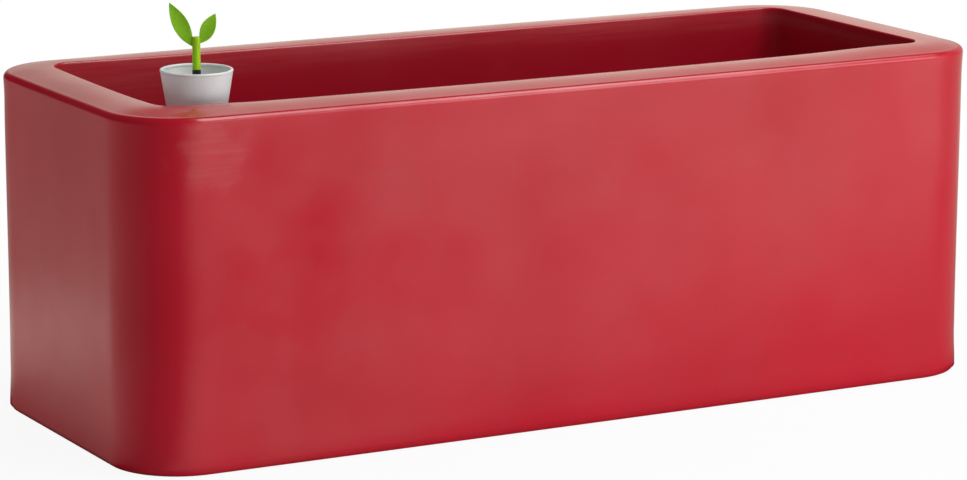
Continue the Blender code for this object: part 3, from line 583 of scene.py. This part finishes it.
pot_grey = moulded(
    "pot_grey", dark=(0.81, 0.835, 0.835), light=(0.86, 0.885, 0.885), roughness=(0.34, 0.44),
    cloud_scale=30, grain_scale=1300, grain_height=0.00002,
)
let_light_in(pot_grey, POT_GLOW, (POT_GLOW_DEPTH, POT_GLOW_DEPTH, POT_GLOW_DEPTH))
tube_grey = moulded(
    "tube_grey", dark=(0.45, 0.445, 0.44), light=(0.51, 0.505, 0.50), roughness=(0.38, 0.5),
    cloud_scale=24, grain_scale=1300, grain_height=0.00002,
)
bush_white = moulded(
    "bush_white", dark=(0.72, 0.72, 0.70), light=(0.78, 0.78, 0.76), roughness=(0.36, 0.46),
    cloud_scale=60, grain_scale=1500, grain_height=0.00002,
)
lip = surface("pot_lip", lip_grid(), pot_grey, wrap_rows=True)
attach(lip, "gauge")
finish_solid("gauge_pot", pot_grey, POT_EDGE_BREAK)
finish_solid("gauge_tube", tube_grey)
finish_solid("gauge_foot", tube_grey)
finish_solid("guide_bush", bush_white)

# Float: a turned block of closed foam at the foot of a black rod, held by a push-on clip. A stop ring
# higher up the rod meets the bush when the reservoir is full.
float_foam = moulded(
    "float_foam", dark=(0.73, 0.71, 0.63), light=(0.83, 0.81, 0.73), roughness=(0.75, 0.9),
    cloud_scale=120, grain_scale=700, grain_height=0.00012,
)
rod_black = moulded(
    "rod_black", dark=(0.009, 0.009, 0.009), light=(0.015, 0.015, 0.015), roughness=(0.32, 0.42),
    cloud_scale=60, grain_scale=1500, grain_height=0.00002,
)
finish_solid("float", float_foam)
finish_solid("float_clip", plug_black)
finish_solid("rod_stop", plug_black)
finish_solid("float_rod", rod_black)

# Sprout: a moulded green stem pushed on the rod's tip, and two dished leaves set into the slot across
# its top. The leaves are thin, so light from behind glows a little in them.
stem_low, stem_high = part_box("sprout_stem")
STEM_X, STEM_Y = ((stem_low + stem_high) / 2).xy
STEM_BOTTOM = stem_low.z
STEM_TOP = stem_high.z
STEM_RADIUS = 0.0033
STEM_EDGE = 0.0012
STEM_FOOT_EDGE = 0.0004
STEM_SOCKET_RADIUS = 0.0021
STEM_SOCKET_DEPTH = 0.008
LEAF_LOWER_SHARE = 0.57
LEAF_LOWER_START = 0.18
LEAF_LOWER_FULLNESS = 0.85
LEAF_UPPER_START = 0.06
LEAF_CUP = 0.10
LEAF_LEAN = math.radians(29.6)
LEAF_THICKNESS = 0.0014
LEAF_FLATNESS = 0.6
LEAF_TIP_THINNING = 12
LEAF_TENON = 0.0020
LEAF_JOIN = 0.14
SPROUT_TURN = math.radians(-28.9)
LARGE_LEAF = {"side": -1, "length": 0.036, "width": 0.0128, "root": 0.0080}
SMALL_LEAF = {"side": 1, "length": 0.0246, "width": 0.0117, "root": 0.0052}
STEM_GREEN = ((0.305, 0.56, 0.003), (0.345, 0.61, 0.005))
LEAF_GREEN = ((0.24, 0.56, 0.014), (0.28, 0.61, 0.020))
SPROUT_GLOSS = 0.35
STEM_GLOW = 0.15
LEAF_GLOW = 0.25
SPROUT_GLOW_DEPTH = (0.0006, 0.0012, 0.0002)


def turned_grid(profile, steps):
    """Body of revolution: radius times cosine and sine of the turn, height kept, rows bottom to top."""
    turn = np.linspace(0.0, 2 * math.pi, steps, endpoint=False)
    radius, height = (column[:, None] for column in np.asarray(profile).T)
    x = STEM_X + radius * np.cos(turn)
    y = STEM_Y + radius * np.sin(turn)
    return np.stack((x, y, np.broadcast_to(height, x.shape)), 2)


def stem_profile():
    """Radius and height from the socket's end, down and out to the foot, up the side and over the top."""
    socket_top = STEM_BOTTOM + STEM_SOCKET_DEPTH
    foot = np.array([STEM_RADIUS - STEM_FOOT_EDGE, STEM_BOTTOM + STEM_FOOT_EDGE])
    crown = np.array([STEM_RADIUS - STEM_EDGE, STEM_TOP - STEM_EDGE])
    return np.concatenate((
        run((0.0, socket_top), (STEM_SOCKET_RADIUS, socket_top), 3),
        run((STEM_SOCKET_RADIUS, socket_top), (STEM_SOCKET_RADIUS, STEM_BOTTOM), 8),
        run((STEM_SOCKET_RADIUS, STEM_BOTTOM), (foot[0], STEM_BOTTOM), 3),
        bend(foot, STEM_FOOT_EDGE, 270, 360, 5),
        run((STEM_RADIUS, foot[1]), (STEM_RADIUS, crown[1]), 24),
        bend(crown, STEM_EDGE, 0, 90, 8),
        run((crown[0], STEM_TOP), (0.0, STEM_TOP), 4),
        np.array([[0.0, STEM_TOP]]),
    ))


def leaf_swell(along, start):
    """Half width's share from root to tip: a sine that has already swelled a little at the root."""
    return np.sin(math.pi * (start + (1 - start) * along)).clip(0)


def leaf_grid(side, length, width, root, rows=56, columns=48):
    """Blade whose section is a flat lens: across is the cosine, thickness a root of the sine of the turn.

    Its half widths swell as sines from root to tip, its edges lift as the square of across, and near
    the root it eases from a flat tenon in the stem's slot.
    """
    along = np.linspace(0.0, 1.0, rows)[:, None]
    turn = np.linspace(0.0, 2 * math.pi, columns, endpoint=False)[None, :]
    across = np.cos(turn)
    lower = LEAF_LOWER_SHARE * leaf_swell(along, LEAF_LOWER_START) ** LEAF_LOWER_FULLNESS
    upper = (1 - LEAF_LOWER_SHARE) * leaf_swell(along, LEAF_UPPER_START)
    half = width * np.where(across > 0, lower, upper)
    lift = LEAF_CUP * width * across * across * np.sin(math.pi * along)
    thick = LEAF_THICKNESS / 2 * rooted(np.sin(turn), LEAF_FLATNESS)
    thick = thick * np.sqrt(1 - along ** LEAF_TIP_THINNING)
    reach, rise = math.sin(LEAF_LEAN), math.cos(LEAF_LEAN)
    x = STEM_RADIUS + length * along * reach + half * across * rise
    z = STEM_TOP - root / 2 + length * along * rise - half * across * reach
    grown = smooth(along / LEAF_JOIN)
    tenon_x = STEM_RADIUS - LEAF_TENON * (1 - along / LEAF_JOIN).clip(0)
    tenon_z = STEM_TOP - STEM_EDGE / 2 - root * (across + 1) / 2
    x = side * (tenon_x + (x - tenon_x) * grown)
    z = tenon_z + (z - tenon_z) * grown
    y = thick - lift * grown
    turned_x = STEM_X + x * math.cos(SPROUT_TURN) - y * math.sin(SPROUT_TURN)
    turned_y = STEM_Y + x * math.sin(SPROUT_TURN) + y * math.cos(SPROUT_TURN)
    grid = np.stack(np.broadcast_arrays(turned_x, turned_y, z), 2)
    root_middle = np.broadcast_to(grid[:1].mean(1, keepdims=True), grid[:1].shape)
    grid = np.concatenate((root_middle, grid))
    return grid if side > 0 else grid[:, ::-1]


def sprout_green(name, greens, glow):
    """Glossy green plastic: close shades, a fine grain, and a little light let through."""
    dark, light = greens
    made = moulded(
        name, dark, light, roughness=(0.26, 0.36),
        cloud_scale=90, grain_scale=1500, grain_height=0.00002,
    )
    made.node_tree.nodes["Principled BSDF"].inputs["Specular IOR Level"].default_value = SPROUT_GLOSS
    let_light_in(made, glow, SPROUT_GLOW_DEPTH)
    return made


stem_green = sprout_green("stem_green", STEM_GREEN, STEM_GLOW)
stem = surface("sprout_stalk", turned_grid(stem_profile(), steps=48), stem_green)
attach(stem, "float")
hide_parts("sprout_stem")
leaf_green = sprout_green("leaf_green", LEAF_GREEN, LEAF_GLOW)
for name, leaf in (("large", LARGE_LEAF), ("small", SMALL_LEAF)):
    blade = surface(f"{name}_blade", leaf_grid(**leaf), leaf_green)
    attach(blade, "float")
    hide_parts(f"leaf_{name}")

# Studio floor and surround: a white floor that runs on into a white room, dimmer in two places at the
# right, and unlit at the left and front left, where the glossy skin reflects it. The floor is matt, and
# close round the trough it shows the trough's shadow.
FLOOR_REACH = 6.0
FLOOR_DROP = 0.0004
FLOOR_MATT = (0.82, 0.82, 0.82, 1.0)
FLOOR_WHITENESS = 0.92
FLOOR_SHADE_FADE = (0.4, 1.0)
WHITE = (1.0, 1.0, 1.0, 1.0)
UNLIT = 0.02
UNLIT_SIDE = (-0.985, 0.174, 0.0)
UNLIT_FADE = (-0.40, 0.20)
RIGHT_SIDE = (1.0, 0.0, 0.0)
RIGHT_GLOW = 0.30
RIGHT_FADE = (0.84, 0.99)
BACK_RIGHT_SIDE = (0.80, 0.60, 0.0)
BACK_RIGHT_GLOW = 0.50
BACK_RIGHT_FADE = (0.935, 0.99)
ROOM_CORNER = (-0.395, -0.10, 0.0)
ROOM_FLOOR_GLOW = (0.8, 1.55)
ROOM_FLOOR_FADE = (0.4, 1.9)
LEFT_FLOOR_SIDE = (-0.5, 0.866, 0.0)
LEFT_FLOOR_GLOW = 0.54
LEFT_FLOOR_TURN = (-0.05, 1.0)
LEFT_FLOOR_FAR = 0.65
LEFT_FLOOR_FADE = (0.4, 1.3)
BACK_SPOT = (-0.50, 0.40, 0.0)
BACK_SPOT_GLOW = 0.35
BACK_SPOT_REACH = 0.30
CONTACT_GLOW = 0.40
CONTACT_REACH = 0.10
CONTACT_LINE = 0.15
CONTACT_LINE_REACH = 0.006
BACKDROP_TOP = (0.54, 0.66)
ROOM_TINT = (1.0, 0.96, 0.84, 1.0)
AMBIENT = 0.28
AMBIENT_OPEN = 0.70


def vector(tree, operation, first, second=None):
    """One vector worked on alone, or with a fixed one, as the operation says."""
    node = tree.nodes.new("ShaderNodeVectorMath")
    node.operation = operation
    tree.links.new(first, node.inputs[0])
    if second:
        node.inputs[1].default_value = second
    return node.outputs["Value" if operation in ("DOT_PRODUCT", "LENGTH") else "Vector"]


def side_glow(tree, level, side, glow, fade):
    """Brightness towards one side: full, falling to its glow over a range of the cosine to that side."""
    return spread(tree, vector(tree, "DOT_PRODUCT", level, side), 1.0, glow, *fade, soft=True)


def room_glow(tree, level):
    """Brightness of the room in a level direction: white, unlit at the left, dimmer at the right."""
    left = side_glow(tree, level, UNLIT_SIDE, UNLIT, UNLIT_FADE)
    right = side_glow(tree, level, RIGHT_SIDE, RIGHT_GLOW, RIGHT_FADE)
    back_right = side_glow(tree, level, BACK_RIGHT_SIDE, BACK_RIGHT_GLOW, BACK_RIGHT_FADE)
    return joined(tree, "MULTIPLY", joined(tree, "MULTIPLY", left, right), back_right)


def floor_glow(tree, place):
    """Brightness of the floor in a reflection: the room's, or the left floor's, dimmer by the trough."""
    from_corner = vector(tree, "SUBTRACT", place, ROOM_CORNER)
    level = vector(tree, "NORMALIZE", from_corner)
    distance = vector(tree, "LENGTH", from_corner)
    room_far = spread(tree, distance, *ROOM_FLOOR_GLOW, *ROOM_FLOOR_FADE)
    room_floor = joined(tree, "MULTIPLY", room_glow(tree, level), room_far)
    towards_left = vector(tree, "DOT_PRODUCT", level, LEFT_FLOOR_SIDE)
    left_side = spread(tree, towards_left, UNLIT, LEFT_FLOOR_GLOW, *LEFT_FLOOR_TURN)
    left_far = spread(tree, distance, 1.0, LEFT_FLOOR_FAR, *LEFT_FLOOR_FADE)
    from_spot = vector(tree, "LENGTH", vector(tree, "SUBTRACT", place, BACK_SPOT))
    spot = spread(tree, from_spot, BACK_SPOT_GLOW, 0.0, 0.0, BACK_SPOT_REACH, soft=True)
    left_floor = joined(tree, "ADD", joined(tree, "MULTIPLY", left_side, left_far), spot)
    half_sides = (SHELL_LENGTH / 2, SHELL_WIDTH / 2, 0.0)
    beyond = vector(tree, "SUBTRACT", vector(tree, "ABSOLUTE", place), half_sides)
    beyond_sides = tree.nodes.new("ShaderNodeSeparateXYZ")
    tree.links.new(beyond, beyond_sides.inputs["Vector"])
    away = joined(tree, "MAXIMUM", beyond_sides.outputs["X"], beyond_sides.outputs["Y"])
    shade = spread(tree, away, CONTACT_GLOW, 1.0, 0.0, CONTACT_REACH, soft=True)
    line = spread(tree, away, CONTACT_LINE, 1.0, 0.0, CONTACT_LINE_REACH)
    contact = joined(tree, "MULTIPLY", shade, line)
    return joined(tree, "MULTIPLY", joined(tree, "MAXIMUM", room_floor, left_floor), contact)


def mixed(tree, share, first, second):
    """Two shaders mixed by a share."""
    node = tree.nodes.new("ShaderNodeMixShader")
    tree.links.new(share, node.inputs["Fac"])
    tree.links.new(first, node.inputs[1])
    tree.links.new(second, node.inputs[2])
    return node.outputs["Shader"]


def light_source(tree, kind, colour):
    """Plain light of one colour, on a surface or from the surround, with its strength left to set."""
    node = tree.nodes.new(kind)
    node.inputs["Color"].default_value = colour
    return node


def floor_white():
    """White to the camera, less so by the trough to keep its shadow, and the floor's glow in gloss."""
    made = bpy.data.materials.new("floor_white")
    made.use_nodes = True
    made.cycles.emission_sampling = "NONE"
    tree = made.node_tree
    tree.nodes.remove(tree.nodes["Principled BSDF"])
    place = tree.nodes.new("ShaderNodeTexCoord").outputs["Object"]
    rays = tree.nodes.new("ShaderNodeLightPath").outputs
    matt = light_source(tree, "ShaderNodeBsdfDiffuse", FLOOR_MATT).outputs["BSDF"]
    white = light_source(tree, "ShaderNodeEmission", WHITE).outputs["Emission"]
    glow = light_source(tree, "ShaderNodeEmission", ROOM_TINT)
    tree.links.new(floor_glow(tree, place), glow.inputs["Strength"])
    away = vector(tree, "LENGTH", place)
    whiteness = spread(tree, away, FLOOR_WHITENESS, 1.0, *FLOOR_SHADE_FADE, soft=True)
    seen = mixed(tree, joined(tree, "MULTIPLY", rays["Is Camera Ray"], whiteness), matt, white)
    reflected = mixed(tree, rays["Is Glossy Ray"], seen, glow.outputs["Emission"])
    tree.links.new(reflected, tree.nodes["Material Output"].inputs["Surface"])
    return made


def light_surround(world):
    """White to the camera, the room's glow up to the backdrop's top in gloss, and soft ambient light."""
    world.use_nodes = True
    world.cycles.sampling_method = "NONE"
    tree = world.node_tree
    direction = tree.nodes.new("ShaderNodeTexCoord").outputs["Generated"]
    rays = tree.nodes.new("ShaderNodeLightPath").outputs
    height = tree.nodes.new("ShaderNodeSeparateXYZ")
    tree.links.new(direction, height.inputs["Vector"])
    below_top = spread(tree, height.outputs["Z"], 1.0, UNLIT, *BACKDROP_TOP, soft=True)
    level = vector(tree, "NORMALIZE", vector(tree, "MULTIPLY", direction, (1.0, 1.0, 0.0)))
    glow = joined(tree, "MULTIPLY", room_glow(tree, level), below_top)
    room = light_source(tree, "ShaderNodeBackground", ROOM_TINT)
    tree.links.new(glow, room.inputs["Strength"])
    ambient = light_source(tree, "ShaderNodeBackground", WHITE)
    tree.links.new(spread(tree, glow, AMBIENT, AMBIENT_OPEN, AMBIENT, 1.0), ambient.inputs["Strength"])
    white = tree.nodes["Background"]
    white.inputs["Color"].default_value = WHITE
    white.inputs["Strength"].default_value = 1.0
    unseen = mixed(tree, rays["Is Glossy Ray"], ambient.outputs["Background"], room.outputs["Background"])
    seen = joined(tree, "MAXIMUM", rays["Is Camera Ray"], rays["Is Transmission Ray"])
    surround = mixed(tree, seen, unseen, white.outputs["Background"])
    tree.links.new(surround, tree.nodes["World Output"].inputs["Surface"])


floor_mesh = bpy.data.meshes.new("floor")
floor_corners = np.array([(-1, -1, 0), (1, -1, 0), (1, 1, 0), (-1, 1, 0)]) * FLOOR_REACH
floor_mesh.from_pydata((floor_corners - (0, 0, FLOOR_DROP)).tolist(), [], [(0, 1, 2, 3)])
floor_mesh.materials.append(floor_white())
floor = bpy.data.objects.new("floor", floor_mesh)
bpy.context.scene.collection.objects.link(floor)
bpy.context.scene.world = bpy.data.worlds.new("surround")
light_surround(bpy.context.scene.world)

# Lamps: four oblong soft ones. A low one stands in front and a small one fills the left end, both kept
# out of reflections. One high at the right shows in reflections alone, and one hangs over the front
# right.


def soft_lamp(name, place, aim, width, height, watts):
    """Oblong lamp at a place, its face turned to the aim point."""
    lamp = bpy.data.lights.new(name, "AREA")
    lamp.shape = "RECTANGLE"
    lamp.size = width
    lamp.size_y = height
    lamp.energy = watts
    made = bpy.data.objects.new(name, lamp)
    bpy.context.scene.collection.objects.link(made)
    made.location = place
    made.rotation_euler = (Vector(aim) - Vector(place)).to_track_quat("-Z", "Y").to_euler()
    return made


front_lamp = soft_lamp(
    "front_lamp", place=(0.85, -2.2, 0.26), aim=(0.0, 0.0, 0.15), width=1.4, height=0.42, watts=19.5
)
front_lamp.visible_glossy = False
left_lamp = soft_lamp(
    "left_lamp", place=(-1.3, 1.07, 0.16), aim=(-0.4, 0.0, 0.15), width=0.6, height=0.28, watts=5
)
left_lamp.visible_glossy = False
right_lamp = soft_lamp(
    "right_lamp", place=(1.25, -1.85, 1.35), aim=(0.0, 0.0, 0.25), width=1.2, height=1.0, watts=12
)
right_lamp.visible_diffuse = False
soft_lamp(
    "overhead_lamp", place=(1.0, -0.85, 2.35), aim=(1.0, -0.85, 0.0), width=1.5, height=1.9, watts=52
)

# Camera: a long lens about three and a half metres off, at the front left and half a metre above the
# rim, at the photograph's viewing angle. Its turn is tilt, roll and pan, in degrees.
CAMERA_LENS = 146.12
CAMERA_SENSOR = 36.0
CAMERA_PLACE = (-1.5920, -2.8787, 0.8132)
CAMERA_TURN = (78.216, -0.211, -28.753)
camera = bpy.data.cameras.new("camera")
camera.lens = CAMERA_LENS
camera.sensor_width = CAMERA_SENSOR
camera.sensor_fit = "HORIZONTAL"
viewer = bpy.data.objects.new("camera", camera)
bpy.context.scene.collection.objects.link(viewer)
viewer.matrix_world = Matrix.LocRotScale(Vector(CAMERA_PLACE), Euler(np.radians(CAMERA_TURN)), None)
bpy.context.scene.camera = viewer
bpy.context.scene.view_settings.view_transform = "Standard"
